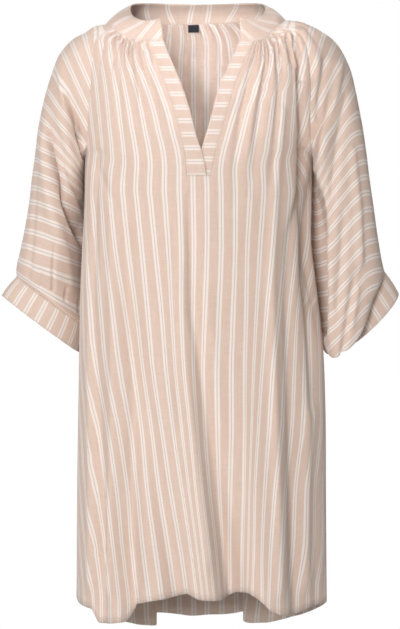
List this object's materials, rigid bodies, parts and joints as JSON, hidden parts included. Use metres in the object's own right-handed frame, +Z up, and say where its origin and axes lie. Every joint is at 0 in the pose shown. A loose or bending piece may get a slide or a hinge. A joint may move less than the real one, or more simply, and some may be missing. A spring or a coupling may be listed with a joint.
{
  "type": "tunic top",
  "caption": "Loose hip-length tunic top with gathered stand collar, split V neck, raglan balloon sleeves and banded cuffs, kept in its worn hollow form.",
  "frame": {"origin": "where the wearer's shoulders carry it: midway between the shoulders, level with the front end of the neck seam", "axes": "+Z up along the garment's length, the front faces -Y, +X towards the viewer's right"},
  "size_m": [0.596, 0.298, 0.9488],
  "materials": {
    "striped_cloth": "soft plain weave, beige with pairs of thin off-white stripes",
    "striped_bands": "the same cloth cut so that the stripes run across the band",
    "label_tape": "dark woven tape, bare"
  },
  "bodies": {
    "root": {"front": "striped_cloth", "back": "striped_cloth", "sleeve_left": "striped_cloth", "sleeve_right": "striped_cloth", "cuff_left": "striped_bands", "cuff_right": "striped_bands", "collar": "striped_bands", "placket_left": "striped_bands", "placket_right": "striped_bands", "neck_label": "label_tape"}
  },
  "joints": []
}
